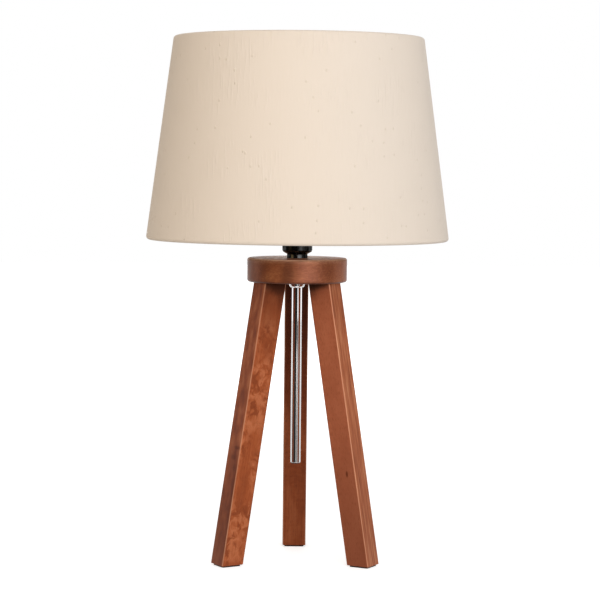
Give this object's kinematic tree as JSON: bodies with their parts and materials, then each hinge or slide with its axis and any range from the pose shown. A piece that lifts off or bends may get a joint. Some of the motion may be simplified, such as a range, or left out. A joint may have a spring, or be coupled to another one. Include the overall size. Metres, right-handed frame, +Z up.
{
  "type": "tripod table lamp",
  "caption": "Table lamp with square splayed timber legs under a round hub, a chrome cable tube, a bayonet lampholder and a tapered beige fabric shade.",
  "frame": {"origin": "on the floor plane under the vertical axis of the hub, tube, lampholder and shade", "axes": "+Z up; -Y is the front, between the two front legs; +X is to the right seen from the front"},
  "size_m": [0.3024, 0.3024, 0.5243],
  "materials": {
    "stained_wood": "satin brown stain and lacquer",
    "beech": "plain turned beech",
    "felt": "pressed dark brown felt",
    "zinc_steel": "bright zinc plate",
    "brass": "plain turned brass",
    "chrome_plate": "polished chrome plate",
    "black_nylon": "moulded, matt",
    "black_phenolic": "moulded, glossy",
    "barrel_aluminium": "pressed, bright",
    "steatite": "unglazed",
    "spring_steel": "drawn wire",
    "bulb_nickel": "nickel plate",
    "solder": "tinned",
    "white_plastic": "moulded, satin",
    "opal_plastic": "opal, satin",
    "shade_cloth": "plain-woven slub cloth, beige",
    "liner_sheet": "off-white laminate sheet",
    "white_wire": "white powder coat"
  },
  "bodies": {
    "base": {"leg_front_left": "stained_wood", "leg_front_right": "stained_wood", "leg_rear": "stained_wood", "foot_pads": "felt", "hub_disc": "stained_wood", "leg_bolts": "zinc_steel", "leg_inserts": "brass", "leg_dowels": "beech", "cable_tube": "chrome_plate", "tube_collar": "chrome_plate", "tube_bush": "black_nylon", "holder_cap": "black_phenolic", "cap_lock_screw": "zinc_steel", "holder_skirt": "black_phenolic", "bayonet_barrel": "barrel_aluminium", "contact_block": "steatite", "terminal_posts": "brass", "terminal_screws": "zinc_steel", "plunger_springs": "spring_steel"},
    "plungers": {"contact_plungers": "brass"},
    "bulb": {"bulb_cap": "bulb_nickel", "bulb_pins": "brass", "bulb_insulator": "black_nylon", "bulb_contacts": "solder", "bulb_housing": "white_plastic", "bulb_globe": "opal_plastic"},
    "shade": {"shade_fabric": "shade_cloth", "shade_liner": "liner_sheet", "shade_top_wire": "white_wire", "shade_bottom_wire": "white_wire", "fitter_ring": "white_wire", "fitter_arms": "white_wire"},
    "clamp": {"shade_ring": "black_phenolic"}
  },
  "joints": [
    {"name": "shade_turn", "type": "hinge", "parent": "base", "child": "shade", "pos_m": [0, 0, 0.33155], "axis": [0, 0, 1], "continuous": true},
    {"name": "shade_ring_turn", "type": "hinge", "parent": "base", "child": "clamp", "pos_m": [0, 0, 0.3363], "axis": [0, 0, 1], "continuous": true},
    {"name": "bulb_press", "type": "slide", "parent": "base", "child": "plungers", "axis": [0, 0, -1], "range_m": [0, 0.0025], "stiffness_N_per_m": 1500, "springref_m": -0.002, "deforming": ["plunger_springs"]},
    {"name": "bulb_turn", "type": "hinge", "parent": "plungers", "child": "bulb", "pos_m": [0, 0, 0.3502], "axis": [0, 0, 1], "range_deg": [0, 25]}
  ],
  "couplings": [
    {"joint": "bulb_turn", "follows": "bulb_press", "rad_per_m": 174.53}
  ]
}
